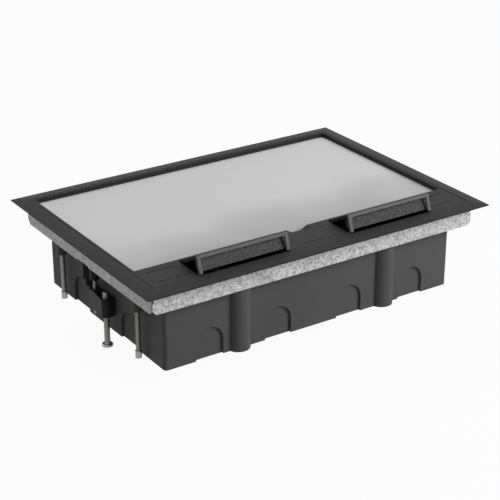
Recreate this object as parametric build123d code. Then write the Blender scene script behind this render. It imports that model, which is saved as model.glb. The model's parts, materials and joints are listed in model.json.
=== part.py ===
from build123d import *
import math
import os

# Floor socket box with a hinged lid, two cable flaps and swing-out floor clamps.
# Millimetres, +Z up. X runs along the long side, the cable flaps face -Y.
# The origin is under the centre, at the level of the two levelling feet.

# Finished floor, counted from the underside of the levelling feet
FLOOR_Z = 85.4

# Trim frame
TRIM_X = 165.0
TRIM_Y = 115.8
RIM_X = 12.2
RIM_Y = 12.4
TRIM_TOP = 2.8
TRIM_EDGE = 1.0
TRIM_BULGE = 0.66
LEDGE_TOP = -4.6
LEDGE_T = 1.6
LEDGE_W = 3.4

# Galvanised ring
RING_X = 155.5
RING_Y = 105.2
RING_T = 1.2
RING_BOTTOM = -18.6
RING_FLANGE = 6.0
RING_CORNER_GAP = 0.5
RING_CHAMFER = 3.0
RING_RELIEF_R = 1.1
RING_NOTCH_W = 20.6
RING_NOTCH_H = 1.2

# Lid
LID_GAP = 0.3
LID_REAR_GAP = 0.5
LID_SEAT_GAP = 0.3
LID_WALL = 2.4
STRIP_Y = -69.2
STRIP_SKIN = 2.2
PLATE_T = 1.5
PLATE_DEEP = 4.0
PLATE_GAP = 0.1
LID_PIN_R = 1.0
LID_PIN_Y = 101.5
LID_PIN_Z = 1.3
LID_REAR_CHAMFER = 0.5
LID_CORNER_R = 0.8
RECESS_R = 1.5
POCKET_COLS = 6
POCKET_ROWS = 3
POCKET_RIB = 2.4
POCKET_DEEP = 0.8
MARK_IN = 7.5
MARK_OUT = 8.0
MARK_REAR = 7.8
MARK_FRONT = 25.8
MARK_W = 0.8
MARK_H = 0.25
PIN_PLAY = 0.05

# Cable flaps
FLAP_IN = 29.2
FLAP_OUT = 112.8
FLAP_SIDE_GAP = 0.3
FLAP_REAR = -71.3
FLAP_AXIS_Y = -73.1
FLAP_AXIS_Z = 1.2
FLAP_HUB_R = 1.5
FLAP_PIN_R = 0.8
FLAP_REACH = 30.0
FLAP_T = 2.2
FLAP_LEG = 14.2
FLAP_LEG_W = 3.0
FLAP_LEG_T = 2.2
FLAP_BAR_T = 2.6
FLAP_LEG_LEAN = 10.8
FLAP_OPEN = 29.5
FOAM_W = 78.0
FOAM_T = 5.0
FOAM_H = 10.0
FOAM_SETBACK = 5.2

# Lid latch
LATCH_HALF = 17.9
LATCH_GAP = 0.2
LATCH_T = 2.4
LATCH_LIP_T = 3.8
LATCH_PIN_Y = -97.0
LATCH_PIN_R = 1.0
LATCH_HUB_R = 2.5
LATCH_TRAY_Y = -86.5
SPRING_WIRE = 0.3
SPRING_TURNS = 5
SPRING_PLAY = 0.2
LATCH_HOOK_W = 16.0
LATCH_HOOK_T = 2.2
LATCH_NOSE = 0.7
SCOOP_HALF = 10.0
SCOOP_FLOOR_HALF = 4.5
SCOOP_REACH = 6.0
SCOOP_LIP = 0.5
SCOOP_DEEP = 3.0
SCOOP_WALL = 1.5

# Box body
BOX_STEP_X = 13.6
BOX_STEP_Y = 8.4
BOX_BOTTOM = -74.4
BOX_WALL = 3.2
BOX_FLOOR = 2.4
BOX_CORNER_R = 3.0
COLLAR_GAP_X = 0.4
COLLAR_GAP_Y = 0.3
COLLAR_WALL = 2.0
SHOULDER_Z = -16.0
SHOULDER_T = 2.4
KO_R = 12.5
KO_TOP = -48.0
KO_DEEP = 2.2
KO_FRONT_X = (35.2, 99.8)
KO_SIDE_Y = 40.0
PILLAR_X = 71.5
PILLAR_R = 10.0
PILLAR_SET = 3.2
NICHE_Y0 = 0.0
NICHE_Y1 = 36.4
NICHE_DEEP = 8.8
NICHE_SILL = -54.0
CLAMP_POCKET_Y0 = -24.0
CABLE_NOTCH_Z = -14.5

# Depth-adjusting screws
ADJ_X = 145.3
ADJ_Y = 63.3
ADJ_R = 2.0
ADJ_HEAD_R = 3.5
ADJ_HEAD_H = 1.5
ADJ_END = -75.0
ADJ_COLLAR_R = 2.6
ADJ_COLLAR_H = 6.3
LUG_R = 4.0
LUG_END = -34.0
TAB_W = 12.0
TAB_IN = 4.8

# Screwdriver slots
SLOT_W = 0.9
SLOT_DEEP = 0.7

# Trim screws
TRIM_SCREW_X = 145.6
TRIM_SCREW_Y = 88.0
TRIM_SCREW_R = 1.75
TRIM_SCREW_HEAD_R = 3.2
TRIM_SCREW_L = 9.0

# Floor clamps
CLAMP_Y = 6.0
CLAMP_SCREW_R = 1.75
CLAMP_SCREW_END = -65.4
CLAMP_GUIDE_R = 3.9
CLAMP_GUIDE_END = -35.0
CLAMP_TOP = -43.0
CLAMP_H = 15.5
CLAMP_END_R = 4.0
FOOT_DX = -1.7
FOOT_DY = -20.8
FOOT_EDGE = 4.9
FOOT_CORNER_R = 4.6
TROUGH_IN = 2.3
TROUGH_OUT = 1.4
TROUGH_GAP = 0.8
TROUGH_DEEP = 6.0
ARM_PLAY = 0.3
FOOT_SCREW_R = 2.4
FOOT_DISC_R = 4.65
FOOT_DISC_T = 2.1
FOOT_SCREW_TOP = -37.5
NUT_SIDE = 6.6
NUT_T = 3.2
NUT_FLOOR = 3.0
RUN_GAP = 0.05

# Inside
PART_T = 1.5
PART_TOP = -22.0
PART_GAP = 0.1
PART_NOTCH_IN = 8.0
PART_NOTCH_W = 22.0
PART_NOTCH_H = 8.0
RIB_T = 1.5
RIB_DEEP = 3.0
CARRIER_X = (-101.4, -35.8, 35.8, 101.4)
CARRIER_W = 50.0
CARRIER_TOP = -45.0
CARRIER_T = 2.0
CARRIER_Y = 9.0
RAIL_H = 5.0
RAIL_W = 8.0
CARRIER_SCREW_R = 1.4
CARRIER_SCREW_L = 6.0
CARRIER_HEAD_R = 2.8
CARRIER_HEAD_H = 1.6
CARRIER_FOOT = 9.0
MODULE = 45.0
MODULE_PITCH = 46.5
MODULE_BODY = 42.0
MODULE_PLAY = 0.2
MODULE_FACE = 3.0
SOCKET_DEPTH = 21.0
SOCKET_RECESS_R = 19.3
SOCKET_RECESS = 14.0
SOCKET_PIN_R = 2.5
SOCKET_PIN_PITCH = 19.0
SOCKET_PIN_DEEP = 8.0
SOCKET_KEY = 1.6
SOCKET_KEY_W = 6.0
SOCKET_KEY_LOW = 1.5
CLIP_W = 4.0
CLIP_T = 0.8
CLIP_H = 10.0
CLIP_SET = 1.0
DATA_BODY = 8.0
BLANK_BODY = 6.0
BLANK_SKIN = 1.0
BLANK_WALL = 1.8
JACK_L = 16.0
JACK_SINK = 1.0
JACK_W = 14.6
JACK_D = 16.4
JACK_PITCH = 19.5
PORT_W = 11.8
PORT_D = 8.4
PORT_H = 9.0
PORT_KEY_W = 6.0
PORT_KEY_D = 2.0
EARTH_X = -40.0
EARTH_W = 8.0
EARTH_H = 8.0
EARTH_HEAD_R = 3.2
EARTH_HEAD_H = 1.3
EARTH_CLEAR = 2.8
EARTH_WIRE_R = 1.9

# Sizes that follow from the ones above
OPEN_X = TRIM_X - RIM_X
OPEN_Y = TRIM_Y - RIM_Y
LEDGE_BOTTOM = LEDGE_TOP - LEDGE_T
FLANGE_BOTTOM = LEDGE_BOTTOM - RING_T
LID_X = OPEN_X - LID_GAP
LID_FRONT = -OPEN_Y + LID_GAP
LID_REAR = OPEN_Y - LID_REAR_GAP
LID_BOTTOM = LEDGE_TOP + LID_SEAT_GAP
PLATE_TOP = TRIM_TOP - PLATE_DEEP
PLATE_BOTTOM = PLATE_TOP - PLATE_T
RECESS_X = LID_X - LID_WALL
RECESS_REAR = LID_REAR - LID_WALL + 0.2
COLLAR_X = RING_X - RING_T - COLLAR_GAP_X
COLLAR_Y = RING_Y - RING_T - COLLAR_GAP_Y
COLLAR_TOP = FLANGE_BOTTOM
BOX_X = COLLAR_X - BOX_STEP_X
BOX_Y = COLLAR_Y - BOX_STEP_Y
SHOULDER_BOTTOM = SHOULDER_Z - SHOULDER_T
CAVITY_X = BOX_X - BOX_WALL
CAVITY_Y = BOX_Y - BOX_WALL
FLOOR_TOP = BOX_BOTTOM + BOX_FLOOR
CLAMP_X = -ADJ_X
CLAMP_BOTTOM = CLAMP_TOP - CLAMP_H
TAB_EDGE = ADJ_X - TAB_IN
LATCH_PIN_Z = TRIM_TOP - LATCH_HUB_R
SPRING_R = LATCH_PIN_R + 0.1 + 2 * SPRING_WIRE
CARRIER_L = 3 * MODULE_PITCH + 6.0
CARRIER_SCREW_X = 18.0


def block(x0, x1, y0, y1, z0, z1):
    """A box between two corners, with z counted from the finished floor."""
    size = (abs(x1 - x0), abs(y1 - y0), abs(z1 - z0))
    return Pos((x0 + x1) / 2, (y0 + y1) / 2, FLOOR_Z + (z0 + z1) / 2) * Box(*size)


def post(x, y, z0, z1, r):
    """An upright round bar between two levels."""
    return Pos(x, y, FLOOR_Z + (z0 + z1) / 2) * Cylinder(r, abs(z1 - z0))


def bar_x(x0, x1, y, z, r):
    """A round bar along X."""
    turned = Rot(0, 90, 0) * Cylinder(r, abs(x1 - x0))
    return Pos((x0 + x1) / 2, y, FLOOR_Z + z) * turned


def prism_x(points, x0, x1):
    """A closed outline in Y and Z, drawn along X."""
    face = make_face(Polyline(*[(y, FLOOR_Z + z) for y, z in points], close=True))
    return Pos(x0, 0, 0) * extrude(Plane.YZ * face, amount=x1 - x0)


def frame_block(x, y, inner_x, inner_y, z0, z1):
    """A rectangular ring, centred on the origin."""
    return block(-x, x, -y, y, z0, z1) - block(-inner_x, inner_x, -inner_y, inner_y, z0 - 1, z1 + 1)


def upright_edges(shape, radius):
    return fillet(shape.edges().filter_by(Axis.Z), radius)


def turned_half(shape):
    """The same piece on the other short side, half a turn round the centre."""
    return Rot(0, 0, 180) * shape


def slot(x, y, top, r):
    """A screwdriver slot across a head."""
    return block(x - r, x + r, y - SLOT_W / 2, y + SLOT_W / 2, top - SLOT_DEEP, top + 1)


def corners(x, y):
    return [(sx * x, sy * y) for sx in (-1, 1) for sy in (-1, 1)]


def save(name, *solids):
    shape = solids[0] if len(solids) == 1 else Compound(children=list(solids))
    export_step(shape, f"parts/{name}.step")


# Trim frame and ring

def rim_section(half, width):
    """Cross-section of the flat trim with its convex, sloping border."""
    inner = half - width
    mid = half - width / 2
    mid_z = TRIM_EDGE + TRIM_BULGE * (TRIM_TOP - TRIM_EDGE)
    z = FLOOR_Z
    lines = [
        Line((-half, z), (-half, z + TRIM_EDGE)),
        ThreePointArc((-half, z + TRIM_EDGE), (-mid, z + mid_z), (-inner, z + TRIM_TOP)),
        Line((-inner, z + TRIM_TOP), (inner, z + TRIM_TOP)),
        ThreePointArc((inner, z + TRIM_TOP), (mid, z + mid_z), (half, z + TRIM_EDGE)),
        Line((half, z + TRIM_EDGE), (half, z)),
        Line((half, z), (-half, z)),
    ]
    return make_face(Curve() + lines)


def flap_zones(z0, z1, y0, y1, margin):
    """The two stretches of the front that the cable flaps swing through."""
    left = block(-FLAP_OUT - margin, -FLAP_IN + margin, y0, y1, z0, z1)
    return left + mirror(left, Plane.YZ)


def trim_tabs():
    """Small ears of the ledge that take the trim screws."""
    ears = [block(x - TAB_W / 2, x + TAB_W / 2, y - TAB_W / 2, y + TAB_W / 2, LEDGE_BOTTOM, LEDGE_TOP)
            for x, y in corners(TRIM_SCREW_X, TRIM_SCREW_Y)]
    return Part() + ears


def trim_screw_solid(x, y):
    head = Pos(x, y, FLOOR_Z + LEDGE_TOP - LEDGE_T / 2) * Cone(TRIM_SCREW_R, TRIM_SCREW_HEAD_R, LEDGE_T)
    return head + post(x, y, LEDGE_TOP - TRIM_SCREW_L, LEDGE_BOTTOM, TRIM_SCREW_R)


def make_trim_frame():
    along_x = extrude(Plane.YZ * rim_section(TRIM_Y, RIM_Y), amount=TRIM_X, both=True)
    along_y = extrude(Plane.XZ * rim_section(TRIM_X, RIM_X), amount=TRIM_Y, both=True)
    body = along_x & along_y
    body += block(-RING_X, RING_X, -RING_Y, RING_Y, LEDGE_BOTTOM, 0)
    body -= block(-OPEN_X, OPEN_X, -OPEN_Y, OPEN_Y, LEDGE_TOP, TRIM_TOP + 1)
    inner_x = OPEN_X - LEDGE_W
    inner_y = OPEN_Y - LEDGE_W
    body -= block(-inner_x, inner_x, -inner_y, OPEN_Y, LEDGE_BOTTOM - 1, LEDGE_TOP + 1)
    body -= flap_zones(LEDGE_BOTTOM - 1, LEDGE_TOP + 1, -OPEN_Y, -inner_y + 1, 2.0)
    body += trim_tabs() & block(-OPEN_X, OPEN_X, -OPEN_Y, OPEN_Y, LEDGE_BOTTOM, LEDGE_TOP)
    for x, y in corners(TRIM_SCREW_X, TRIM_SCREW_Y):
        body -= Pos(x, y, FLOOR_Z + LEDGE_TOP - LEDGE_T / 2) * Cone(TRIM_SCREW_R, TRIM_SCREW_HEAD_R, LEDGE_T)
    for side in (-1, 1):
        body -= bar_x(side * (OPEN_X - 1), side * (RING_X - 0.2), LID_PIN_Y, LID_PIN_Z, LID_PIN_R)
    return body


def ring_side(long_half, out, z_notch_at):
    """One folded-down side, drawn along X, with chamfered ends and a shallow notch."""
    end = long_half - RING_CORNER_GAP
    top = LEDGE_BOTTOM
    outline = [(-end, top), (-end, RING_BOTTOM + RING_CHAMFER), (-end + RING_CHAMFER, RING_BOTTOM)]
    if z_notch_at is not None:
        n0 = z_notch_at - RING_NOTCH_W / 2
        n1 = z_notch_at + RING_NOTCH_W / 2
        up = RING_BOTTOM + RING_NOTCH_H
        outline += [(n0, RING_BOTTOM), (n0 + RING_NOTCH_H, up), (n1 - RING_NOTCH_H, up), (n1, RING_BOTTOM)]
    outline += [(end - RING_CHAMFER, RING_BOTTOM), (end, RING_BOTTOM + RING_CHAMFER), (end, top)]
    face = make_face(Polyline(*[(x, FLOOR_Z + z) for x, z in outline], close=True))
    return Pos(0, -out + RING_T, 0) * extrude(Plane.XZ * face, amount=RING_T)


def ring_reliefs():
    """Bend reliefs where two folded sides meet."""
    cuts = [post(x, y, RING_BOTTOM, LEDGE_BOTTOM + 1, RING_RELIEF_R)
            & block(x - 9, x + 9, y - 9, y + 9, FLANGE_BOTTOM - 1, LEDGE_BOTTOM + 1)
            for x, y in corners(RING_X - RING_T / 2, RING_Y - RING_T / 2)]
    return Part() + cuts


def make_ring():
    body = frame_block(RING_X, RING_Y, RING_X - RING_FLANGE, RING_Y - RING_FLANGE, FLANGE_BOTTOM, LEDGE_BOTTOM)
    body += ring_side(RING_X, RING_Y, None)
    body += turned_half(ring_side(RING_X, RING_Y, None))
    side = Rot(0, 0, -90) * ring_side(RING_Y - RING_T, RING_X, -CLAMP_Y)
    body += side
    body += turned_half(side)
    body -= flap_zones(FLANGE_BOTTOM - 1, LEDGE_BOTTOM + 1, -RING_Y + RING_T, 0, 2.0)
    body -= ring_reliefs()
    for x, y in corners(ADJ_X, ADJ_Y) + corners(TRIM_SCREW_X, TRIM_SCREW_Y):
        edge = math.copysign(TAB_EDGE, x)
        body += block(math.copysign(RING_X - RING_T, x), edge, y - TAB_W / 2, y + TAB_W / 2, FLANGE_BOTTOM, LEDGE_BOTTOM)
    for side in (-1, 1):
        y = -side * CLAMP_Y
        body += block(side * (RING_X - RING_T), side * TAB_EDGE, y - TAB_W / 2, y + TAB_W / 2, FLANGE_BOTTOM, LEDGE_BOTTOM)
        body -= post(side * ADJ_X, y, FLANGE_BOTTOM - 1, LEDGE_BOTTOM + 1, CLAMP_SCREW_R + RUN_GAP)
    for x, y in corners(ADJ_X, ADJ_Y):
        body -= post(x, y, FLANGE_BOTTOM - 1, LEDGE_BOTTOM + 1, ADJ_R)
    for x, y in corners(TRIM_SCREW_X, TRIM_SCREW_Y):
        body -= post(x, y, FLANGE_BOTTOM - 1, LEDGE_BOTTOM + 1, TRIM_SCREW_R)
    rear = RING_Y - RING_T
    half = EARTH_W / 2
    body += block(EARTH_X - half, EARTH_X + half, earth_y() - half, rear, FLANGE_BOTTOM, LEDGE_BOTTOM)
    body -= post(EARTH_X, earth_y(), FLANGE_BOTTOM - 1, LEDGE_BOTTOM + 1, TRIM_SCREW_R)
    return body


def earth_y():
    return OPEN_Y - LEDGE_W - EARTH_HEAD_R - EARTH_CLEAR


def make_earth_terminal():
    y = earth_y()
    half = EARTH_W / 2
    body = block(EARTH_X - half, EARTH_X + half, y - half, y + half, FLANGE_BOTTOM - EARTH_H, FLANGE_BOTTOM)
    body -= bar_x(EARTH_X - EARTH_W, EARTH_X + EARTH_W, y, FLANGE_BOTTOM - 0.68 * EARTH_H, EARTH_WIRE_R)
    return body - post(EARTH_X, y, FLANGE_BOTTOM - EARTH_H / 2, FLANGE_BOTTOM + 1, TRIM_SCREW_R)


def make_earth_screw():
    y = earth_y()
    top = LEDGE_BOTTOM + EARTH_HEAD_H
    head = post(EARTH_X, y, LEDGE_BOTTOM, top, EARTH_HEAD_R)
    head -= slot(EARTH_X, y, top, EARTH_HEAD_R)
    return head + post(EARTH_X, y, FLANGE_BOTTOM - EARTH_H / 2, LEDGE_BOTTOM, TRIM_SCREW_R)


def adjusting_screw(x, y):
    top = LEDGE_BOTTOM + ADJ_HEAD_H
    head = post(x, y, LEDGE_BOTTOM, top, ADJ_HEAD_R) - slot(x, y, top, ADJ_HEAD_R)
    return head + post(x, y, ADJ_END, LEDGE_BOTTOM, ADJ_R)


def screw_collar(x, y):
    """The stop sleeve at the foot of an adjusting screw."""
    ring = post(x, y, ADJ_END, ADJ_END + ADJ_COLLAR_H, ADJ_COLLAR_R)
    return ring - post(x, y, ADJ_END - 1, ADJ_END + ADJ_COLLAR_H + 1, ADJ_R)


# Lid

def lid_pockets():
    """Shallow pockets in the underside that leave a grid of ribs."""
    cuts = []
    pitch_x = (2 * RECESS_X) / POCKET_COLS
    pitch_y = (RECESS_REAR - STRIP_Y) / POCKET_ROWS
    half_x = (pitch_x - POCKET_RIB) / 2
    half_y = (pitch_y - POCKET_RIB) / 2
    top = LID_BOTTOM + POCKET_DEEP
    for i in range(POCKET_COLS):
        for j in range(POCKET_ROWS):
            x = -RECESS_X + pitch_x * (i + 0.5)
            y = STRIP_Y + pitch_y * (j + 0.5)
            cuts.append(block(x - half_x, x + half_x, y - half_y, y + half_y, LID_BOTTOM - 1, top))
    return Part() + cuts


def lid_marks():
    """Thin raised lines at both ends of the front strip."""
    near = FLAP_OUT + MARK_IN
    far = LID_X - MARK_OUT
    half = MARK_W / 2
    lines = [block(side * near, side * far, y - half, y + half, TRIM_TOP - MARK_H, TRIM_TOP + MARK_H)
             for side in (-1, 1) for y in (STRIP_Y - MARK_REAR, STRIP_Y - MARK_FRONT)]
    return Part() + lines


def make_lid_frame():
    body = block(-LID_X, LID_X, LID_FRONT, LID_REAR, LID_BOTTOM, TRIM_TOP)
    body = upright_edges(body, LID_CORNER_R)
    rear_top = body.edges().filter_by(Axis.X).sort_by(Axis.Y)[-2:].sort_by(Axis.Z)[-1]
    body = chamfer(rear_top, LID_REAR_CHAMFER)
    recess = block(-RECESS_X, RECESS_X, STRIP_Y, RECESS_REAR, PLATE_BOTTOM, TRIM_TOP + 1)
    body -= upright_edges(recess, RECESS_R)
    body -= lid_pockets()
    body -= flap_zones(LID_BOTTOM - 1, TRIM_TOP + 1, LID_FRONT - 1, FLAP_REAR, 0)
    hollow_x = FLAP_OUT + LID_WALL
    under = block(hollow_x, LID_X - LID_WALL, LID_FRONT + LID_WALL, FLAP_REAR, LID_BOTTOM - 1, TRIM_TOP - STRIP_SKIN)
    body -= under + mirror(under, Plane.YZ)
    half = LATCH_HALF + LATCH_GAP
    front = LATCH_PIN_Y - LATCH_HUB_R - LATCH_GAP
    body -= block(-half, half, front, STRIP_Y + 0.01, PLATE_TOP, TRIM_TOP + 1)
    body -= block(-half, half, front, LATCH_TRAY_Y, LID_BOTTOM - 1, TRIM_TOP + 1)
    body += lid_marks()
    for side in (-1, 1):
        x = side * (LID_X - LID_WALL + 0.2)
        body -= bar_x(x, side * (LID_X + 1), LID_PIN_Y, LID_PIN_Z, LID_PIN_R + PIN_PLAY)
        for edge in (FLAP_IN, FLAP_OUT):
            reach = LID_WALL - 0.4 if edge == FLAP_OUT else 0.4 - LID_WALL
            body -= bar_x(side * edge, side * (edge + reach), FLAP_AXIS_Y, FLAP_AXIS_Z, FLAP_PIN_R)
        body -= bar_x(side * (half - 1), side * latch_pin_end(), LATCH_PIN_Y, LATCH_PIN_Z, LATCH_PIN_R)
    return body


def make_lid_plate():
    gap = PLATE_GAP
    plate = block(-RECESS_X + gap, RECESS_X - gap, STRIP_Y + gap, RECESS_REAR - gap, PLATE_BOTTOM, PLATE_TOP)
    return upright_edges(plate, RECESS_R - gap)


def lid_hinge_pin(side):
    return bar_x(side * (LID_X - LID_WALL + 0.4), side * (RING_X - 0.2), LID_PIN_Y, LID_PIN_Z, LID_PIN_R)


def latch_pin_end():
    return LATCH_HALF + LATCH_GAP + 4.0


def make_latch_pin():
    return bar_x(-latch_pin_end(), latch_pin_end(), LATCH_PIN_Y, LATCH_PIN_Z, LATCH_PIN_R)


def latch_hook():
    """The arm under the handle, with its nose towards the front of the ring."""
    back = LATCH_PIN_Y + LATCH_HOOK_T / 2
    front = LATCH_PIN_Y - LATCH_HOOK_T / 2
    top = LATCH_PIN_Z
    catch = FLANGE_BOTTOM - 0.3
    outline = [(back, top), (front, top), (front, catch), (front - LATCH_NOSE, catch - 0.5),
               (front, catch - 2.0), (back, catch - 2.0)]
    return prism_x(outline, -LATCH_HOOK_W / 2, LATCH_HOOK_W / 2)


def finger_scoop():
    """The recess at the rear edge, sloping on three sides and open to the steel inlay."""
    past = SCOOP_REACH
    top = TRIM_TOP
    low = TRIM_TOP - SCOOP_DEEP
    mouth = Rectangle(2 * SCOOP_HALF, SCOOP_REACH + past)
    floor = Rectangle(2 * SCOOP_FLOOR_HALF, SCOOP_LIP + past)
    mouth = Pos(0, STRIP_Y + (past - SCOOP_REACH) / 2, FLOOR_Z + top) * mouth
    floor = Pos(0, STRIP_Y + (past - SCOOP_LIP) / 2, FLOOR_Z + low) * floor
    return loft([floor, mouth], ruled=True)


def make_latch_handle():
    rear = STRIP_Y - PLATE_GAP
    body = block(-LATCH_HALF, LATCH_HALF, LATCH_PIN_Y, rear, TRIM_TOP - LATCH_T, TRIM_TOP)
    lip = rear - SCOOP_REACH - SCOOP_WALL
    body += block(-LATCH_HALF, LATCH_HALF, lip, rear, TRIM_TOP - LATCH_LIP_T, TRIM_TOP)
    body += bar_x(-LATCH_HALF, LATCH_HALF, LATCH_PIN_Y, LATCH_PIN_Z, LATCH_HUB_R)
    body -= finger_scoop()
    body += latch_hook()
    x0 = LATCH_HOOK_W / 2 + SPRING_PLAY
    x1 = x0 + 2 * SPRING_WIRE * SPRING_TURNS + 2 * SPRING_PLAY
    body -= bar_x(x0, x1, LATCH_PIN_Y, LATCH_PIN_Z, SPRING_R + SPRING_PLAY)
    return body - bar_x(-LATCH_HALF - 1, LATCH_HALF + 1, LATCH_PIN_Y, LATCH_PIN_Z, LATCH_PIN_R + PIN_PLAY)


def make_latch_spring():
    """A close-wound coil on the latch pin, drawn as one ribbed sleeve."""
    wire = SPRING_WIRE
    inner = LATCH_PIN_R + 0.1
    start = LATCH_HOOK_W / 2 + 2 * SPRING_PLAY
    end = start + 2 * wire * SPRING_TURNS
    outline = [(start, inner), (end, inner), (end, inner + wire)]
    for i in reversed(range(SPRING_TURNS)):
        x = start + 2 * wire * i
        outline += [(x + wire, inner + 2 * wire), (x, inner + wire)]
    coil = revolve(make_face(Polyline(*outline, close=True)), Axis.X)
    return Pos(0, LATCH_PIN_Y, FLOOR_Z + LATCH_PIN_Z) * coil


# Cable flaps, drawn closed and then turned open about their rear pins

def opened(shape):
    axis = Axis((0, FLAP_AXIS_Y, FLOOR_Z + FLAP_AXIS_Z), (-1, 0, 0))
    return shape.rotate(axis, FLAP_OPEN)


def flap_front():
    return FLAP_AXIS_Y - FLAP_REACH


def flap_edges():
    return -FLAP_OUT + FLAP_SIDE_GAP, -FLAP_IN - FLAP_SIDE_GAP


def make_flap_panel():
    x0, x1 = flap_edges()
    top = TRIM_TOP - 0.1
    body = block(x0, x1, flap_front() + FLAP_LEG_T, FLAP_AXIS_Y, top - FLAP_T, top)
    body += bar_x(x0, x1, FLAP_AXIS_Y, FLAP_AXIS_Z, FLAP_HUB_R)
    rib = block(x0 + FLAP_LEG_W, x1 - FLAP_LEG_W, foam_back(), foam_back() + 1.4, top - FLAP_T - 3.0, top - FLAP_T)
    body += rib
    for x in (x0, x1):
        body -= bar_x(x - 3.2, x + 3.2, FLAP_AXIS_Y, FLAP_AXIS_Z, FLAP_PIN_R + PIN_PLAY)
    return body


def make_flap_frame():
    """The U-shaped bow at the front of a flap: a top bar and two legs."""
    x0, x1 = flap_edges()
    top = TRIM_TOP - 0.1
    front = flap_front()
    lean = FLAP_LEG * math.tan(math.radians(FLAP_LEG_LEAN))
    side = [(front, top), (front + lean, top - FLAP_LEG), (front + lean + FLAP_LEG_T, top - FLAP_LEG),
            (front + FLAP_LEG_T, top - FLAP_BAR_T), (front + FLAP_LEG_T, top)]
    bow = prism_x(side, x0, x1)
    window = block(x0 + FLAP_LEG_W, x1 - FLAP_LEG_W, front - 1, front + 9, top - FLAP_LEG - 1, top - FLAP_BAR_T)
    bow -= window
    return bow


def foam_back():
    return flap_front() + FOAM_SETBACK + FOAM_T


def make_flap_foam():
    x0, x1 = flap_edges()
    mid = (x0 + x1) / 2
    top = TRIM_TOP - 0.1 - FLAP_T
    foam = block(mid - FOAM_W / 2, mid + FOAM_W / 2, foam_back() - FOAM_T, foam_back(), top - FOAM_H, top)
    lower = foam.edges().filter_by(Axis.Y).sort_by(Axis.Z)[:2]
    return fillet(lower, 3.0)


def flap_pin(x, inward):
    return bar_x(x - inward * (LID_WALL - 0.4), x + inward * 3.0, FLAP_AXIS_Y, FLAP_AXIS_Z, FLAP_PIN_R)


def make_flap_pins():
    pins = [flap_pin(-FLAP_OUT, 1), flap_pin(-FLAP_IN, -1), flap_pin(FLAP_IN, 1), flap_pin(FLAP_OUT, -1)]
    return pins


# Box body

def arch(width, top, depth):
    """A knock-out outline with a round head, open at the bottom, drawn along Y."""
    half = width / 2
    z0 = FLOOR_Z + BOX_BOTTOM - 1
    z1 = FLOOR_Z + top - half
    lines = [
        Line((-half, z0), (half, z0)),
        Line((half, z0), (half, z1)),
        ThreePointArc((half, z1), (0, z1 + half), (-half, z1)),
        Line((-half, z1), (-half, z0)),
    ]
    return extrude(Plane.XZ * make_face(Curve() + lines), amount=depth, both=True)


def knockouts():
    cuts = []
    for side in (-1, 1):
        for x in KO_FRONT_X:
            for end in (-1, 1):
                cuts.append(Pos(end * x, side * BOX_Y, 0) * arch(2 * KO_R, KO_TOP, KO_DEEP))
        for y in (-KO_SIDE_Y, KO_SIDE_Y):
            turned = Rot(0, 0, 90) * arch(2 * KO_R + 1, KO_TOP, KO_DEEP)
            cuts.append(Pos(side * BOX_X, y, 0) * turned)
    return Part() + cuts


def clamp_side_wall():
    """The straight inner wall and the niche wall behind the left floor clamp."""
    y0 = CLAMP_POCKET_Y0 - COLLAR_WALL
    y1 = NICHE_Y1 + COLLAR_WALL
    wall = block(-COLLAR_X, -CAVITY_X, y0, y1, SHOULDER_BOTTOM, COLLAR_TOP)
    back = BOX_X - NICHE_DEEP - BOX_WALL
    wall += block(-BOX_X, -back, NICHE_Y0 - COLLAR_WALL, y1, NICHE_SILL - COLLAR_WALL, COLLAR_TOP)
    return wall


def clamp_side_cut():
    """The room for the left floor clamp: a pocket in the collar and a deeper niche."""
    pocket = block(-COLLAR_X - 1, -BOX_X, CLAMP_POCKET_Y0, NICHE_Y1, SHOULDER_BOTTOM - 1, COLLAR_TOP + 1)
    niche = block(-BOX_X - 1, -BOX_X + NICHE_DEEP, NICHE_Y0, NICHE_Y1, NICHE_SILL, COLLAR_TOP + 1)
    return pocket + niche


def partition_ribs():
    ribs = []
    for x in (-PILLAR_X, 0, PILLAR_X):
        for side in (-1, 1):
            for flank in (-1, 1):
                x0 = x + flank * (PART_T / 2 + PART_GAP)
                ribs.append(block(x0, x0 + flank * RIB_T, side * CAVITY_Y, side * (CAVITY_Y - RIB_DEEP), FLOOR_TOP, PART_TOP))
    return Part() + ribs


def carrier_feet():
    """Where the two feet of each module carrier stand."""
    front = CARRIER_Y - CARRIER_L / 2 - CARRIER_FOOT / 2
    rear = CARRIER_Y + CARRIER_L / 2 + CARRIER_FOOT / 2
    return front, min(rear, CAVITY_Y - RIB_DEEP - RAIL_W / 2)


def floor_rails():
    """Low rails on the box's floor that the carriers are screwed to."""
    half = CARRIER_SCREW_X + RAIL_W / 2
    rails = [block(x - half, x + half, y - RAIL_W / 2, y + RAIL_W / 2, FLOOR_TOP, FLOOR_TOP + RAIL_H)
             for x in CARRIER_X for y in carrier_feet()]
    return Part() + rails


def carrier_screw_spots():
    return [(x + dx, y) for x in CARRIER_X for dx in (-CARRIER_SCREW_X, CARRIER_SCREW_X) for y in carrier_feet()]


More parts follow.
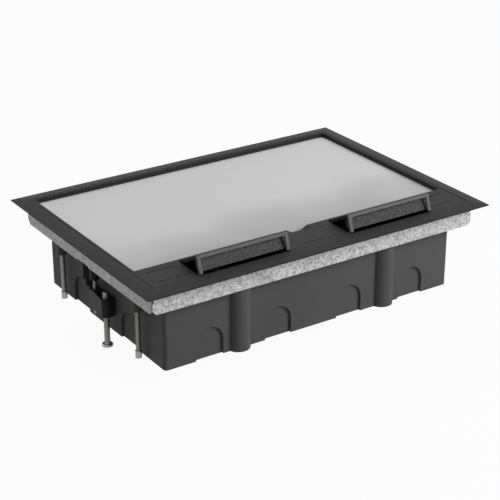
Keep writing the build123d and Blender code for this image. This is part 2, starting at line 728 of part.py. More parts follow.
def make_box_body():
    outer = upright_edges(block(-BOX_X, BOX_X, -BOX_Y, BOX_Y, BOX_BOTTOM, SHOULDER_Z), BOX_CORNER_R)
    for x, y in corners(PILLAR_X, BOX_Y - PILLAR_SET):
        outer += post(x, y, BOX_BOTTOM, SHOULDER_BOTTOM, PILLAR_R)
    collar = upright_edges(block(-COLLAR_X, COLLAR_X, -COLLAR_Y, COLLAR_Y, SHOULDER_BOTTOM, COLLAR_TOP), BOX_CORNER_R)
    inner_x = COLLAR_X - COLLAR_WALL
    inner_y = COLLAR_Y - COLLAR_WALL
    body = outer + collar
    body -= block(-CAVITY_X, CAVITY_X, -CAVITY_Y, CAVITY_Y, FLOOR_TOP, COLLAR_TOP + 1)
    body -= block(-inner_x, inner_x, -inner_y, inner_y, SHOULDER_Z, COLLAR_TOP + 1)
    wall = clamp_side_wall()
    body += wall
    body += turned_half(wall)
    for x, y in corners(ADJ_X, ADJ_Y):
        body += post(x, y, LUG_END, SHOULDER_Z, LUG_R)
    for x, y in corners(ADJ_X, ADJ_Y):
        body -= post(x, y, LUG_END - 1, SHOULDER_Z + 1, ADJ_R + RUN_GAP)
    cut = clamp_side_cut()
    body -= cut
    body -= turned_half(cut)
    body -= knockouts()
    body -= flap_zones(CABLE_NOTCH_Z, COLLAR_TOP + 1, -COLLAR_Y - 1, -inner_y + 0.1, 2.0)
    body += partition_ribs()
    body += floor_rails()
    for x, y in carrier_screw_spots():
        body -= post(x, y, FLOOR_TOP, FLOOR_TOP + RAIL_H + 1, CARRIER_SCREW_R)
    return body


def make_partition(x):
    half_y = CAVITY_Y - PART_GAP
    sheet = block(x - PART_T / 2, x + PART_T / 2, -half_y, half_y, FLOOR_TOP, PART_TOP)
    near = -half_y + PART_NOTCH_IN
    notch = block(x - PART_T, x + PART_T, near, near + PART_NOTCH_W, PART_TOP - PART_NOTCH_H, PART_TOP + 1)
    return sheet - notch


# Modules

def module_rows():
    return [CARRIER_Y + (i - 1) * MODULE_PITCH for i in range(3)]


def make_carrier(x):
    front, rear = carrier_feet()
    half_w = CARRIER_W / 2
    y0 = CARRIER_Y - CARRIER_L / 2
    y1 = min(CARRIER_Y + CARRIER_L / 2, rear - RAIL_W / 2)
    low = FLOOR_TOP + RAIL_H
    body = block(x - half_w, x + half_w, y0, y1, CARRIER_TOP - CARRIER_T, CARRIER_TOP)
    for y, foot, out in ((y0, front, -1), (y1, rear, 1)):
        body += block(x - half_w, x + half_w, y, y - out * CARRIER_T, low, CARRIER_TOP)
        body += block(x - half_w, x + half_w, y, foot + out * RAIL_W / 2, low, low + CARRIER_T)
        for dx in (-CARRIER_SCREW_X, CARRIER_SCREW_X):
            body -= post(x + dx, foot, low - 1, low + CARRIER_T + 1, CARRIER_SCREW_R)
    half = MODULE_BODY / 2 + MODULE_PLAY
    for y in module_rows():
        body -= block(x - half, x + half, y - half, y + half, CARRIER_TOP - CARRIER_T - 1, CARRIER_TOP + 1)
    return body


def carrier_screw(x, y):
    seat = FLOOR_TOP + RAIL_H + CARRIER_T
    head = post(x, y, seat, seat + CARRIER_HEAD_H, CARRIER_HEAD_R)
    return head + post(x, y, seat - CARRIER_SCREW_L, seat, CARRIER_SCREW_R)


def module_shell(x, y, depth):
    """The square face and the body that drops through the carrier."""
    half = MODULE / 2
    inner = MODULE_BODY / 2
    face = block(x - half, x + half, y - half, y + half, CARRIER_TOP, CARRIER_TOP + MODULE_FACE)
    top_edges = face.edges().group_by(Axis.Z)[-1]
    face = chamfer(top_edges, 0.8)
    return face + block(x - inner, x + inner, y - inner, y + inner, CARRIER_TOP - depth, CARRIER_TOP)


def make_power_socket(x, y):
    body = module_shell(x, y, SOCKET_DEPTH)
    face = CARRIER_TOP + MODULE_FACE
    floor = face - SOCKET_RECESS
    body -= post(x, y, floor, face + 1, SOCKET_RECESS_R)
    for dx in (-SOCKET_PIN_PITCH / 2, SOCKET_PIN_PITCH / 2):
        body -= post(x + dx, y, floor - SOCKET_PIN_DEEP, floor + 1, SOCKET_PIN_R)
    half = SOCKET_KEY_W / 2
    for dx in (-1, 1):
        inner = x + dx * (SOCKET_RECESS_R - SOCKET_KEY)
        outer = x + dx * (SOCKET_RECESS_R + SOCKET_KEY / 4)
        body += block(inner, outer, y - half, y + half, floor, face - SOCKET_KEY_LOW)
    return body


def earth_clips(x, y):
    floor = CARRIER_TOP + MODULE_FACE - SOCKET_RECESS
    clips = []
    for dy in (-1, 1):
        y0 = y + dy * (SOCKET_RECESS_R - CLIP_SET)
        clips.append(block(x - CLIP_W / 2, x + CLIP_W / 2, y0, y0 - dy * CLIP_T, floor, floor + CLIP_H))
    return clips


def jack_spots(x, y):
    return [(x - JACK_PITCH / 2, y), (x + JACK_PITCH / 2, y)]


def make_data_module(x, y):
    body = module_shell(x, y, DATA_BODY)
    half_w = JACK_W / 2
    half_d = JACK_D / 2
    low = CARRIER_TOP - DATA_BODY - 1
    high = CARRIER_TOP + MODULE_FACE + 1
    for jx, jy in jack_spots(x, y):
        body -= block(jx - half_w, jx + half_w, jy - half_d, jy + half_d, low, high)
    return body


def data_jack(x, y):
    half_w = JACK_W / 2
    half_d = JACK_D / 2
    top = CARRIER_TOP + MODULE_FACE - JACK_SINK
    body = block(x - half_w, x + half_w, y - half_d, y + half_d, top - JACK_L, top)
    port = block(x - PORT_W / 2, x + PORT_W / 2, y - PORT_D / 2, y + PORT_D / 2, top - PORT_H, top + 1)
    key = PORT_KEY_W / 2
    port += block(x - key, x + key, y - PORT_D / 2 - PORT_KEY_D, y, top - PORT_H, top + 1)
    return body - port


def make_blank(x, y):
    body = module_shell(x, y, BLANK_BODY)
    inner = MODULE_BODY / 2 - BLANK_WALL
    hollow_top = CARRIER_TOP + BLANK_SKIN
    return body - block(x - inner, x + inner, y - inner, y + inner, CARRIER_TOP - BLANK_BODY - 1, hollow_top)


# Floor clamps, drawn for the left side

def foot_spot():
    return CLAMP_X + FOOT_DX, CLAMP_Y + FOOT_DY


def clamp_arm_plan():
    """Plan of the arm: narrow at the clamp screw, wider at the foot screw."""
    fx, fy = foot_spot()
    inner = CLAMP_X + CLAMP_END_R
    outer_near = CLAMP_X - CLAMP_END_R
    outer_far = fx - FOOT_EDGE
    tip = fy - FOOT_EDGE
    points = [(inner, CLAMP_Y), (inner, tip), (outer_far, tip), (outer_near, CLAMP_Y)]
    return make_face(Polyline(*points, close=True))


def arm_trough():
    """The three-cornered pocket in the top, between the two screws."""
    fx, fy = foot_spot()
    outer = min(CLAMP_X, fx) - TROUGH_OUT
    inner = CLAMP_X + TROUGH_IN
    near = CLAMP_Y - CLAMP_END_R - TROUGH_GAP
    far = fy + FOOT_SCREW_R + FOOT_EDGE
    face = make_face(Polyline((outer, near), (outer, far), (inner, (near + far) / 2), close=True))
    return Pos(0, 0, FLOOR_Z + CLAMP_TOP - TROUGH_DEEP) * extrude(face, amount=TROUGH_DEEP + 1)


def make_clamp_arm():
    body = Pos(0, 0, FLOOR_Z + CLAMP_BOTTOM) * extrude(clamp_arm_plan(), amount=CLAMP_H)
    body = fillet(body.edges().filter_by(Axis.Z).sort_by(Axis.X)[0], FOOT_CORNER_R)
    body += post(CLAMP_X, CLAMP_Y, CLAMP_BOTTOM, CLAMP_TOP, CLAMP_END_R)
    fx, fy = foot_spot()
    body -= arm_trough()
    body -= post(CLAMP_X, CLAMP_Y, CLAMP_BOTTOM - 1, CLAMP_TOP + 1, CLAMP_SCREW_R + ARM_PLAY)
    body -= nut_room()
    body -= post(fx, fy, CLAMP_BOTTOM - 1, CLAMP_TOP + 1, FOOT_SCREW_R + RUN_GAP)
    return body


def nut_level():
    return CLAMP_BOTTOM + NUT_FLOOR


def nut_room():
    """The round seat that the nut turns in."""
    z = nut_level()
    return post(CLAMP_X, CLAMP_Y, z - RUN_GAP, z + NUT_T + RUN_GAP, NUT_SIDE / 2 + RUN_GAP)


def make_clamp_nut():
    z = nut_level()
    nut = post(CLAMP_X, CLAMP_Y, z, z + NUT_T, NUT_SIDE / 2)
    return nut - post(CLAMP_X, CLAMP_Y, z - 1, z + NUT_T + 1, CLAMP_SCREW_R + RUN_GAP)


def make_clamp_screw():
    top = LEDGE_BOTTOM + ADJ_HEAD_H
    head = post(CLAMP_X, CLAMP_Y, LEDGE_BOTTOM, top, ADJ_HEAD_R)
    head -= slot(CLAMP_X, CLAMP_Y, top, ADJ_HEAD_R)
    return head + post(CLAMP_X, CLAMP_Y, CLAMP_SCREW_END, LEDGE_BOTTOM, CLAMP_SCREW_R)


def make_clamp_guide():
    tube = post(CLAMP_X, CLAMP_Y, CLAMP_GUIDE_END, FLANGE_BOTTOM, CLAMP_GUIDE_R)
    low = tube.edges().filter_by(GeomType.CIRCLE).sort_by(Axis.Z)[0]
    tube = chamfer(low, 0.6)
    return tube - post(CLAMP_X, CLAMP_Y, CLAMP_GUIDE_END - 1, FLANGE_BOTTOM + 1, CLAMP_SCREW_R + RUN_GAP)


def make_foot_screw():
    x, y = foot_spot()
    body = post(x, y, -FLOOR_Z + FOOT_DISC_T, FOOT_SCREW_TOP, FOOT_SCREW_R)
    body = chamfer(body.edges().filter_by(GeomType.CIRCLE).sort_by(Axis.Z)[-1], 0.5)
    body -= slot(x, y, FOOT_SCREW_TOP, FOOT_SCREW_R)
    disc = post(x, y, -FLOOR_Z, -FLOOR_Z + FOOT_DISC_T, FOOT_DISC_R)
    disc = chamfer(disc.edges().filter_by(GeomType.CIRCLE).sort_by(Axis.Z)[-1], 0.6)
    return body + disc


def save_root():
    save("trim_frame", make_trim_frame())
    save("mounting_ring", make_ring())
    save("trim_screws", *[trim_screw_solid(x, y) for x, y in corners(TRIM_SCREW_X, TRIM_SCREW_Y)])
    save("adjusting_screws", *[adjusting_screw(x, y) for x, y in corners(ADJ_X, ADJ_Y)])
    save("screw_collars", *[screw_collar(x, y) for x, y in corners(ADJ_X, ADJ_Y)])
    save("lid_hinge_pins", lid_hinge_pin(-1), lid_hinge_pin(1))
    save("earth_terminal", make_earth_terminal())
    save("earth_screw", make_earth_screw())


def save_lid():
    save("lid_frame", make_lid_frame())
    save("lid_plate", make_lid_plate())
    save("latch_handle", make_latch_handle())
    save("latch_pin", make_latch_pin())
    save("latch_spring", make_latch_spring())
    save("flap_pins", *make_flap_pins())
    for name, closed in (("panel", make_flap_panel()), ("bow", make_flap_frame()), ("foam", make_flap_foam())):
        left = opened(closed)
        save(f"flap_{name}_left", left)
        save(f"flap_{name}_right", mirror(left, Plane.YZ))


def save_box():
    save("box_body", make_box_body())
    for name, x in (("left", -PILLAR_X), ("centre", 0), ("right", PILLAR_X)):
        save(f"partition_{name}", make_partition(x))
    for number, x in enumerate(CARRIER_X, 1):
        save(f"module_carrier_{number}", make_carrier(x))
    save("carrier_screws", *[carrier_screw(x, y) for x, y in carrier_screw_spots()])
    clips = []
    number = 0
    for x in CARRIER_X[:2]:
        for y in module_rows():
            number += 1
            save(f"power_socket_{number}", make_power_socket(x, y))
            clips += earth_clips(x, y)
    save("socket_earth_clips", *clips)
    jacks = []
    for number, y in enumerate(module_rows(), 1):
        x = CARRIER_X[2]
        save(f"data_module_{number}", make_data_module(x, y))
        jacks += [data_jack(*spot) for spot in jack_spots(x, y)]
        save(f"blank_plate_{number}", make_blank(CARRIER_X[3], y))
    save("data_jacks", *jacks)


def save_clamps():
    pieces = {
        "clamp_guide": make_clamp_guide(),
        "clamp_screw": make_clamp_screw(),
        "clamp_nut": make_clamp_nut(),
        "clamp_arm": make_clamp_arm(),
        "foot_screw": make_foot_screw(),
    }
    for name, left in pieces.items():
        save(f"{name}_left", left)
        save(f"{name}_right", turned_half(left))


os.makedirs("parts", exist_ok=True)
save_root()
save_lid()
save_box()
save_clamps()
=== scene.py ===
"""The floor socket box: studio, finishes and screw threads around the CAD nodes of the shared frame.

Lengths are in metres and Z is up.
"""
import json
import math

import bmesh
import bpy
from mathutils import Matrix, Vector


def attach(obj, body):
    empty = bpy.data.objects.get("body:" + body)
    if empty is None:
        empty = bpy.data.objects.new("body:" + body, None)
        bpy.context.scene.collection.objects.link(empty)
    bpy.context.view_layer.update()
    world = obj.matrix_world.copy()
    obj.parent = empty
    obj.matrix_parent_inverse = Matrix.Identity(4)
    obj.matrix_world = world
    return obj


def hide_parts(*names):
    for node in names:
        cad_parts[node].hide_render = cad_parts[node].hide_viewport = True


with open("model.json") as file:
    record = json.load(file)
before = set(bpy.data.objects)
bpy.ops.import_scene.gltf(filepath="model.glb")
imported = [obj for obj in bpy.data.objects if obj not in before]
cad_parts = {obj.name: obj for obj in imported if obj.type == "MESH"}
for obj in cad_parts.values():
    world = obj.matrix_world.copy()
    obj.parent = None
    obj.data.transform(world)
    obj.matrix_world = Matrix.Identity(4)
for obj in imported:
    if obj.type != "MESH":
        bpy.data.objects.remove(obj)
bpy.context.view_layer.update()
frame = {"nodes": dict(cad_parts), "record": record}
nodes = frame["nodes"]


# Helpers for shader trees

NOISE_BAND = (0.3, 0.7)  # nearly all values of a soft noise lie here


def feed(tree, value, socket):
    """Links a socket to another one, or sets it to a constant."""
    if isinstance(value, bpy.types.NodeSocket):
        tree.links.new(value, socket)
    else:
        socket.default_value = value


def add_math(tree, operation, first, second):
    node = tree.nodes.new("ShaderNodeMath")
    node.operation = operation
    feed(tree, first, node.inputs[0])
    feed(tree, second, node.inputs[1])
    return node.outputs[0]


def add_vector_math(tree, operation, *values):
    node = tree.nodes.new("ShaderNodeVectorMath")
    node.operation = operation
    for value, socket in zip(values, node.inputs):
        feed(tree, value, socket)
    return node.outputs["Vector"]


def add_noise(tree, vector, scale, detail, roughness):
    node = tree.nodes.new("ShaderNodeTexNoise")
    node.inputs["Detail"].default_value = detail
    node.inputs["Roughness"].default_value = roughness
    feed(tree, scale, node.inputs["Scale"])
    tree.links.new(vector, node.inputs["Vector"])
    return node


def add_range(tree, value, band, start, end):
    """Goes from start to end as the value crosses the band, and stays there outside it."""
    node = tree.nodes.new("ShaderNodeMapRange")
    for name, number in zip(("From Min", "From Max", "To Min", "To Max"), (*band, start, end)):
        node.inputs[name].default_value = number
    tree.links.new(value, node.inputs["Value"])
    return node.outputs["Result"]


def join_shaders(tree, share, plain, shown, out):
    mix = tree.nodes.new("ShaderNodeMixShader")
    tree.links.new(share, mix.inputs["Fac"])
    tree.links.new(plain, mix.inputs[1])
    tree.links.new(shown, mix.inputs[2])
    tree.links.new(mix.outputs[0], out.inputs["Surface"])


def seen_directly(tree):
    """1 where the camera, a reflection or a refraction looks, 0 for the light that falls on things."""
    path = tree.nodes.new("ShaderNodeLightPath")
    seen = add_math(tree, "MAXIMUM", path.outputs["Is Camera Ray"], path.outputs["Is Glossy Ray"])
    return add_math(tree, "MAXIMUM", seen, path.outputs["Is Transmission Ray"])


# Camera, studio and light

CAMERA_PLACE = (-0.630025, -0.950640, 0.558944)
CAMERA_TURN = (math.radians(65.621), 0.0, math.radians(-33.578))
CAMERA_LENS = 105.348
CAMERA_SENSOR = 36.0
CAMERA_NEAR = 0.05

LAMP_AIM = (0.0, 0.0, 0.05)
LAMPS = [  # name, place, side of the square, watts
    ("key", (0.66, -0.95, 0.70), 0.7, 12.5),
    ("top", (0.1, 0.6, 1.8), 1.6, 16.5),
    ("back", (-1.0, 1.4, 0.45), 0.9, 3.0),
]

PURE_WHITE = (1.0, 1.0, 1.0, 1.0)
ROOM_STRENGTH = 0.13
BACKDROP_STRENGTH = 1.0

FLOOR_REACH = 7.0
FLOOR_DROP = -0.024
FLOOR_PAINT = (0.62, 0.62, 0.62, 1.0)
FLOOR_GLOW = 1.0
FLOOR_GLOW_SHARE = 0.95


def make_camera():
    data = bpy.data.cameras.new("camera")
    data.lens = CAMERA_LENS
    data.sensor_width = CAMERA_SENSOR
    data.clip_start = CAMERA_NEAR
    camera = bpy.data.objects.new("camera", data)
    camera.location = CAMERA_PLACE
    camera.rotation_euler = CAMERA_TURN
    bpy.context.scene.collection.objects.link(camera)
    bpy.context.scene.camera = camera


def add_background(tree, strength):
    node = tree.nodes.new("ShaderNodeBackground")
    node.inputs["Color"].default_value = PURE_WHITE
    node.inputs["Strength"].default_value = strength
    return node.outputs[0]


def make_world():
    world = bpy.data.worlds.new("studio")
    bpy.context.scene.world = world
    world.use_nodes = True
    tree = world.node_tree
    tree.nodes.clear()
    out = tree.nodes.new("ShaderNodeOutputWorld")
    room = add_background(tree, ROOM_STRENGTH)
    backdrop = add_background(tree, BACKDROP_STRENGTH)
    join_shaders(tree, seen_directly(tree), room, backdrop, out)


def make_floor():
    """The floor lies below the lowest place that the box and the feet reach, so that it never cuts them."""
    mesh = bpy.data.meshes.new("floor")
    shape = bmesh.new()
    bmesh.ops.create_grid(shape, x_segments=1, y_segments=1, size=FLOOR_REACH)
    shape.to_mesh(mesh)
    shape.free()
    floor = bpy.data.objects.new("floor", mesh)
    floor.location = (0.0, 0.0, FLOOR_DROP)
    bpy.context.scene.collection.objects.link(floor)
    material = bpy.data.materials.new("pale_floor")
    material.use_nodes = True
    tree = material.node_tree
    tree.nodes.clear()
    out = tree.nodes.new("ShaderNodeOutputMaterial")
    paint = tree.nodes.new("ShaderNodeBsdfDiffuse")
    paint.inputs["Color"].default_value = FLOOR_PAINT
    glow = tree.nodes.new("ShaderNodeEmission")
    glow.inputs["Strength"].default_value = FLOOR_GLOW
    share = add_math(tree, "MULTIPLY", seen_directly(tree), FLOOR_GLOW_SHARE)
    join_shaders(tree, share, paint.outputs[0], glow.outputs[0], out)
    mesh.materials.append(material)


def make_lamps():
    for name, place, side, watts in LAMPS:
        data = bpy.data.lights.new(name, "AREA")
        data.shape = "SQUARE"
        data.size = side
        data.energy = watts
        lamp = bpy.data.objects.new(name, data)
        lamp.location = place
        lamp.rotation_euler = (Vector(LAMP_AIM) - Vector(place)).to_track_quat("-Z", "Y").to_euler()
        bpy.context.scene.collection.objects.link(lamp)


# Shader groups shared by the finishes. A noise is given as scale, detail and roughness.

GRAIN_SCALE = 1400.0
GRAIN_PITS = (3.0, 0.6)
GRAIN_CLOUD = (9.0, 4.0, 0.6)

SPANGLE_SCALE = 620.0
SPANGLE_WARP = (380.0, 3.0, 0.6)
SPANGLE_SWIRL = (420.0, 4.0, 0.7)
SPANGLE_FROST = (1500.0, 3.0, 0.7)
SPANGLE_PATCHES = (45.0, 3.0, 0.55)
SPANGLE_BEND = 0.006
SPANGLE_LEAN = 0.75
CRYSTAL_WEIGHT, SWIRL_WEIGHT, FROST_WEIGHT, PATCH_WEIGHT = 0.34, 0.62, 0.18, 0.30

BRUSH_STRETCH = (14.0, 2600.0, 2600.0)
BRUSH_LINES = (1.0, 3.0, 0.6)
BRUSH_CLOUD = (14.0, 3.0, 0.5)


def new_group(name, inputs, outputs):
    """A node group with a Vector input, the other inputs with their first values, and the outputs."""
    group = bpy.data.node_groups.new(name, "ShaderNodeTree")
    group.interface.new_socket("Vector", in_out="INPUT", socket_type="NodeSocketVector")
    for label, kind, value in inputs:
        socket = group.interface.new_socket(label, in_out="INPUT", socket_type=kind)
        socket.default_value = value
    for label, kind in outputs:
        group.interface.new_socket(label, in_out="OUTPUT", socket_type=kind)
    source = group.nodes.new("NodeGroupInput")
    sink = group.nodes.new("NodeGroupOutput")
    return group, source, sink


def make_grain_group():
    """Spark-eroded texture of moulded plastic: fine pits over a faint cloudiness."""
    group, source, sink = new_group(
        "moulded_grain",
        [("Scale", "NodeSocketFloat", GRAIN_SCALE)],
        [("Height", "NodeSocketFloat"), ("Cloud", "NodeSocketFloat")])
    pits = add_noise(group, source.outputs["Vector"], source.outputs["Scale"], *GRAIN_PITS)
    cloud = add_noise(group, source.outputs["Vector"], *GRAIN_CLOUD)
    group.links.new(pits.outputs["Fac"], sink.inputs["Height"])
    group.links.new(cloud.outputs["Fac"], sink.inputs["Cloud"])
    return group


def make_spangle_group():
    """Hot-dip zinc: small crystals, each with its own shade and lean, broken up by swirls and frost."""
    group, source, sink = new_group(
        "zinc_spangle",
        [("Scale", "NodeSocketFloat", SPANGLE_SCALE)],
        [("Shade", "NodeSocketFloat"), ("Normal", "NodeSocketVector")])
    place = source.outputs["Vector"]
    warp = add_noise(group, place, *SPANGLE_WARP)
    bent = add_vector_math(group, "MULTIPLY_ADD", warp.outputs["Color"], (SPANGLE_BEND,) * 3, place)
    crystal = group.nodes.new("ShaderNodeTexVoronoi")
    group.links.new(bent, crystal.inputs["Vector"])
    group.links.new(source.outputs["Scale"], crystal.inputs["Scale"])
    tone = group.nodes.new("ShaderNodeSeparateColor")
    group.links.new(crystal.outputs["Color"], tone.inputs["Color"])
    swirl = add_noise(group, bent, *SPANGLE_SWIRL)
    frost = add_noise(group, place, *SPANGLE_FROST)
    patches = add_noise(group, place, *SPANGLE_PATCHES)
    coarse = add_math(group, "ADD",
                      add_math(group, "MULTIPLY", tone.outputs["Red"], CRYSTAL_WEIGHT),
                      add_math(group, "MULTIPLY", swirl.outputs["Fac"], SWIRL_WEIGHT))
    fine = add_math(group, "ADD",
                    add_math(group, "MULTIPLY", frost.outputs["Fac"], FROST_WEIGHT),
                    add_math(group, "MULTIPLY", patches.outputs["Fac"], PATCH_WEIGHT))
    group.links.new(add_math(group, "ADD", coarse, fine), sink.inputs["Shade"])
    # Two colours add up to 1 on average in each channel, so the lean is centred on the plain normal.
    facets = add_vector_math(group, "ADD", crystal.outputs["Color"], swirl.outputs["Color"])
    lean = add_vector_math(group, "MULTIPLY_ADD", facets, (SPANGLE_LEAN,) * 3, (-SPANGLE_LEAN,) * 3)
    plain = group.nodes.new("ShaderNodeNewGeometry")
    leaning = add_vector_math(group, "ADD", plain.outputs["Normal"], lean)
    group.links.new(add_vector_math(group, "NORMALIZE", leaning), sink.inputs["Normal"])
    return group


def make_brush_group():
    """Fine scratches along one axis, from a noise that is squeezed across it, and a faint cloudiness."""
    group, source, sink = new_group(
        "brushed_lines",
        [("Stretch", "NodeSocketVector", BRUSH_STRETCH)],
        [("Height", "NodeSocketFloat"), ("Cloud", "NodeSocketFloat")])
    place = source.outputs["Vector"]
    squeezed = add_vector_math(group, "MULTIPLY", place, source.outputs["Stretch"])
    lines = add_noise(group, squeezed, *BRUSH_LINES)
    cloud = add_noise(group, place, *BRUSH_CLOUD)
    group.links.new(lines.outputs["Fac"], sink.inputs["Height"])
    group.links.new(cloud.outputs["Fac"], sink.inputs["Cloud"])
    return group


GRAIN = make_grain_group()
SPANGLE = make_spangle_group()
BRUSH = make_brush_group()


# Finishes

class Finish:
    """One material with a Principled shader and the object's own coordinates at hand."""

    def __init__(self, name, color, roughness, metallic=0.0, specular=0.5):
        self.material = bpy.data.materials.new(name)
        self.material.use_nodes = True
        self.tree = self.material.node_tree
        self.shader = self.tree.nodes["Principled BSDF"]
        self.color = color
        self.shader.inputs["Base Color"].default_value = (*color, 1.0)
        self.shader.inputs["Roughness"].default_value = roughness
        self.shader.inputs["Metallic"].default_value = metallic
        self.shader.inputs["Specular IOR Level"].default_value = specular
        self.coords = self.tree.nodes.new("ShaderNodeTexCoord").outputs["Object"]

    def effect(self, group, **values):
        node = self.tree.nodes.new("ShaderNodeGroup")
        node.node_tree = group
        for label, value in values.items():
            node.inputs[label].default_value = value
        self.tree.links.new(self.coords, node.inputs["Vector"])
        return node

    def tint(self, value, band, start, end):
        """The base colour is start to end times the plain colour as the value crosses the band."""
        scale = self.tree.nodes.new("ShaderNodeVectorMath")
        scale.operation = "SCALE"
        scale.inputs[0].default_value = self.color
        self.tree.links.new(add_range(self.tree, value, band, start, end), scale.inputs["Scale"])
        self.tree.links.new(scale.outputs["Vector"], self.shader.inputs["Base Color"])

    def gloss(self, value, band, start, end):
        """The roughness goes from start to end as the value crosses the band."""
        roughness = add_range(self.tree, value, band, start, end)
        self.tree.links.new(roughness, self.shader.inputs["Roughness"])

    def relief(self, height, depth, strength=1.0):
        bump = self.tree.nodes.new("ShaderNodeBump")
        bump.inputs["Distance"].default_value = depth
        bump.inputs["Strength"].default_value = strength
        self.tree.links.new(height, bump.inputs["Height"])
        self.tree.links.new(bump.outputs["Normal"], self.shader.inputs["Normal"])


def moulded(name, color, roughness, scale=GRAIN_SCALE, depth=0.00004, specular=0.5):
    finish = Finish(name, color, roughness, specular=specular)
    grain = finish.effect(GRAIN, Scale=scale)
    finish.tint(grain.outputs["Cloud"], NOISE_BAND, 0.9, 1.1)
    finish.gloss(grain.outputs["Cloud"], NOISE_BAND, roughness - 0.05, roughness + 0.06)
    finish.relief(grain.outputs["Height"], depth)
    return finish.material


SHADE_BAND = (0.54, 0.94)


def spangled():
    finish = Finish("galvanised_sheet", (0.55, 0.55, 0.555), 0.45, metallic=0.12, specular=0.2)
    crystals = finish.effect(SPANGLE)
    finish.tint(crystals.outputs["Shade"], SHADE_BAND, 0.80, 1.30)
    finish.gloss(crystals.outputs["Shade"], SHADE_BAND, 0.58, 0.36)
    finish.tree.links.new(crystals.outputs["Normal"], finish.shader.inputs["Normal"])
    return finish.material


def brushed(name, color, roughness, stretch):
    finish = Finish(name, color, roughness, metallic=1.0)
    lines = finish.effect(BRUSH, Stretch=stretch)
    finish.tint(lines.outputs["Height"], NOISE_BAND, 0.95, 1.05)
    finish.gloss(lines.outputs["Cloud"], NOISE_BAND, roughness - 0.04, roughness + 0.05)
    finish.relief(lines.outputs["Height"], 0.00001, strength=0.6)
    return finish.material


INLAY_STRETCH = (5.0, 16.0, 16.0)
INLAY_PAINTED_SHADE_SPAN = (-0.03, 0.06)  # painted shade and reflection: the inlay darkens towards the front over this stretch of Y
INLAY_DRIFT = 0.09  # how far the cloudiness moves that stretch back and forth


def satin_sheet():
    """Sheet steel for the inlay: matt, with no lines to see, a painted shade and reflection that darkens
    the front, and a faint unevenness.
    """
    finish = Finish("inlay_steel", (0.625, 0.625, 0.625), 0.7, metallic=0.08, specular=0.18)
    tree = finish.tree
    rolled = finish.effect(BRUSH, Stretch=INLAY_STRETCH)
    place = tree.nodes.new("ShaderNodeSeparateXYZ")
    tree.links.new(finish.coords, place.inputs["Vector"])
    drift = add_math(tree, "MULTIPLY", rolled.outputs["Cloud"], INLAY_DRIFT)
    along = add_math(tree, "ADD", place.outputs["Y"], drift)
    # painted shade and reflection: the colour falls to 0.66 of the plain colour towards the front of the
    # inlay
    painted_shade = add_range(tree, along, INLAY_PAINTED_SHADE_SPAN, 0.66, 1.04)
    uneven = add_range(tree, rolled.outputs["Height"], NOISE_BAND, 0.98, 1.02)
    finish.tint(add_math(tree, "MULTIPLY", painted_shade, uneven), (0.0, 1.0), 0.0, 1.0)
    finish.gloss(rolled.outputs["Cloud"], NOISE_BAND, 0.66, 0.74)
    return finish.material


def foamed():
    finish = Finish("open_foam", (0.085, 0.085, 0.086), 0.95, specular=0.2)
    grain = finish.effect(GRAIN, Scale=1000.0)
    finish.tint(grain.outputs["Height"], (0.38, 0.62), 0.55, 1.5)
    finish.relief(grain.outputs["Height"], 0.0002)
    return finish.material


DARK = moulded("rim_plastic", (0.026, 0.026, 0.027), 0.58, specular=0.12)
BOX = moulded("box_plastic", (0.088, 0.088, 0.089), 0.62, scale=1100.0, depth=0.00006, specular=0.12)
GREY = moulded("bow_plastic", (0.125, 0.125, 0.128), 0.55, specular=0.2)
BLACK = moulded("clamp_plastic", (0.013, 0.013, 0.014), 0.50, specular=0.12)
WHITE = moulded("socket_plastic", (0.62, 0.62, 0.605), 0.36, depth=0.00001)
PLATE = satin_sheet()
SCREW = brushed("zinc_plated", (0.33, 0.317, 0.298), 0.40, (2600.0, 2600.0, 40.0))
BRASS = brushed("contact_brass", (0.62, 0.47, 0.22), 0.3, (900.0, 900.0, 900.0))
ZINC = spangled()
FOAM = foamed()

FINISH_OF_SLOT = {
    "plastic_dark": DARK, "plastic_box": BOX, "plastic_grey": GREY, "plastic_black": BLACK,
    "plastic_white": WHITE, "steel_plate": PLATE, "zinc_sheet": ZINC, "zinc_screw": SCREW,
    "brass_contact": BRASS, "foam_black": FOAM,
}


def dress_nodes():
    for entry in frame["record"]["subparts"]:
        mesh = nodes[entry["node"]].data
        mesh.materials.clear()
        mesh.materials.append(FINISH_OF_SLOT[entry["material_slot"]])


# Screw threads. Heights and spots repeat the part's source. RIM_SEAT is the floor surface under the rim.

RIM_SEAT = 0.0854
HEAD_SEAT = RIM_SEAT - 0.0062
ROD_END = RIM_SEAT - 0.0750
CLAMP_SCREW_END = RIM_SEAT - 0.0654
FOOT_DISC_TOP = 0.0021
FOOT_SCREW_TOP = RIM_SEAT - 0.0375
FOOT_TIP = 0.0015

ROD_SPOTS = [(x, y) for x in (-0.1453, 0.1453) for y in (-0.0633, 0.0633)]
CLAMP_SCREW_SPOTS = {"left": (-0.1453, 0.0060), "right": (0.1453, -0.0060)}
FOOT_SCREW_SPOTS = {"left": (-0.1470, -0.0148), "right": (0.1470, 0.0148)}

ROD_RADIUS, ROD_PITCH = 0.0020, 0.0007
CLAMP_SCREW_RADIUS, CLAMP_SCREW_PITCH = 0.00175, 0.0007
FOOT_SCREW_RADIUS, FOOT_SCREW_PITCH = 0.0024, 0.0008

THREAD_STEPS = 18
THREAD_DEPTH = 0.61  # in pitches
CREST, ROOT = 1, 0
THREAD_PROFILE = ((CREST, 0.0), (CREST, 0.14), (ROOT, 0.46), (ROOT, 0.68))  # height in pitches
STUB = 0.0006  # how much of the plain shank stays on a head, for the thread to start in
ROW_WELD = 2e-6
NODE_WELD = 1e-6
ON_THE_CUT = 1e-7

ABOVE, BELOW = -1.0, 1.0  # the side that stays: the plane's normal points to the side that goes


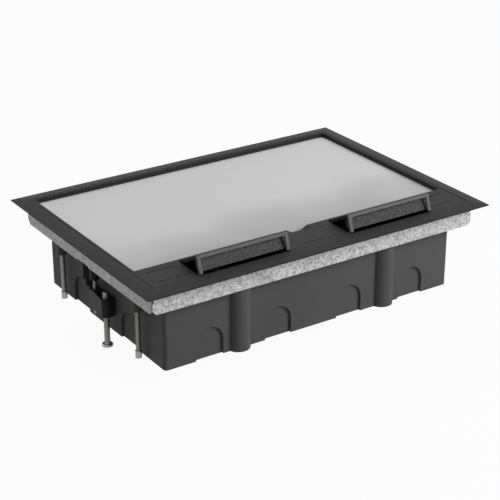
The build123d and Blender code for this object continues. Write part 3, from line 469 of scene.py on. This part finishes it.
def thread_section(shape, radius, pitch, low, high):
    """The thread's outline in the XZ plane: a flat crest, a flank and a flat root in each pitch."""
    radii = {CREST: radius, ROOT: radius - THREAD_DEPTH * pitch}
    z = low - pitch
    last = None
    while z < high + pitch:
        for level, step in THREAD_PROFILE:
            vert = shape.verts.new((radii[level], 0.0, z + step * pitch))
            if last is not None:
                shape.edges.new((last, vert))
            last = vert
        z += pitch


def keep_side(shape, level, side):
    geometry = shape.verts[:] + shape.edges[:] + shape.faces[:]
    bmesh.ops.bisect_plane(shape, geom=geometry, dist=ON_THE_CUT, plane_co=(0.0, 0.0, level),
                           plane_no=(0.0, 0.0, side), clear_outer=True)


def close_cuts(shape):
    bmesh.ops.holes_fill(shape, edges=[e for e in shape.edges if e.is_boundary], sides=0)


def to_new_mesh(shape, name):
    mesh = bpy.data.meshes.new(name)
    shape.to_mesh(mesh)
    shape.free()
    return mesh


def threaded_bar(spot, low, high, radius, pitch):
    """A helix: the outline is spun one turn and rises by one pitch, so that each row meets the next."""
    shape = bmesh.new()
    thread_section(shape, radius, pitch, low, high)
    bmesh.ops.spin(shape, geom=shape.verts[:] + shape.edges[:], cent=(0.0, 0.0, 0.0), axis=(0.0, 0.0, 1.0),
                   dvec=(0.0, 0.0, pitch / THREAD_STEPS), angle=math.tau, steps=THREAD_STEPS)
    bmesh.ops.remove_doubles(shape, verts=shape.verts[:], dist=ROW_WELD)
    keep_side(shape, low, ABOVE)
    keep_side(shape, high, BELOW)
    close_cuts(shape)
    bmesh.ops.translate(shape, verts=shape.verts[:], vec=(*spot, 0.0))
    bmesh.ops.recalc_face_normals(shape, faces=shape.faces[:])
    return to_new_mesh(shape, "bar")


def kept_part(node, level, side):
    """The part of a CAD node on one side of a level, closed where it is cut."""
    shape = bmesh.new()
    shape.from_mesh(nodes[node].data)
    bmesh.ops.remove_doubles(shape, verts=shape.verts[:], dist=NODE_WELD)
    keep_side(shape, level, side)
    close_cuts(shape)
    return to_new_mesh(shape, "part")


def threaded_piece(name, node, body, parts):
    """One new piece from several closed parts, in place of a CAD node."""
    shape = bmesh.new()
    for part in parts:
        shape.from_mesh(part)
        bpy.data.meshes.remove(part)
    mesh = to_new_mesh(shape, name)
    mesh.materials.append(SCREW)
    piece = bpy.data.objects.new(name, mesh)
    bpy.context.scene.collection.objects.link(piece)
    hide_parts(node)
    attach(piece, body)


def thread_rods():
    parts = [kept_part("adjusting_screws", HEAD_SEAT - STUB, ABOVE)]
    for spot in ROD_SPOTS:
        parts.append(threaded_bar(spot, ROD_END, HEAD_SEAT - STUB / 2, ROD_RADIUS, ROD_PITCH))
    threaded_piece("threaded_rods", "adjusting_screws", "surround", parts)


def thread_clamp_screw(side, spot):
    node = f"clamp_screw_{side}"
    head = kept_part(node, HEAD_SEAT - STUB, ABOVE)
    bar = threaded_bar(spot, CLAMP_SCREW_END, HEAD_SEAT - STUB / 2, CLAMP_SCREW_RADIUS, CLAMP_SCREW_PITCH)
    threaded_piece(f"clamp_thread_{side}", node, f"screw_{side}", [head, bar])


def thread_foot_screw(side, spot):
    node = f"foot_screw_{side}"
    top = FOOT_SCREW_TOP - FOOT_TIP
    disc = kept_part(node, FOOT_DISC_TOP + STUB, BELOW)
    tip = kept_part(node, top, ABOVE)
    bar = threaded_bar(spot, FOOT_DISC_TOP + STUB / 2, top + STUB / 2, FOOT_SCREW_RADIUS, FOOT_SCREW_PITCH)
    threaded_piece(f"foot_thread_{side}", node, f"foot_{side}", [disc, tip, bar])


def thread_screws():
    thread_rods()
    for side, spot in CLAMP_SCREW_SPOTS.items():
        thread_clamp_screw(side, spot)
    for side, spot in FOOT_SCREW_SPOTS.items():
        thread_foot_screw(side, spot)


make_camera()
make_world()
make_floor()
make_lamps()
dress_nodes()
thread_screws()

scene = bpy.context.scene
scene.view_settings.view_transform = "Standard"
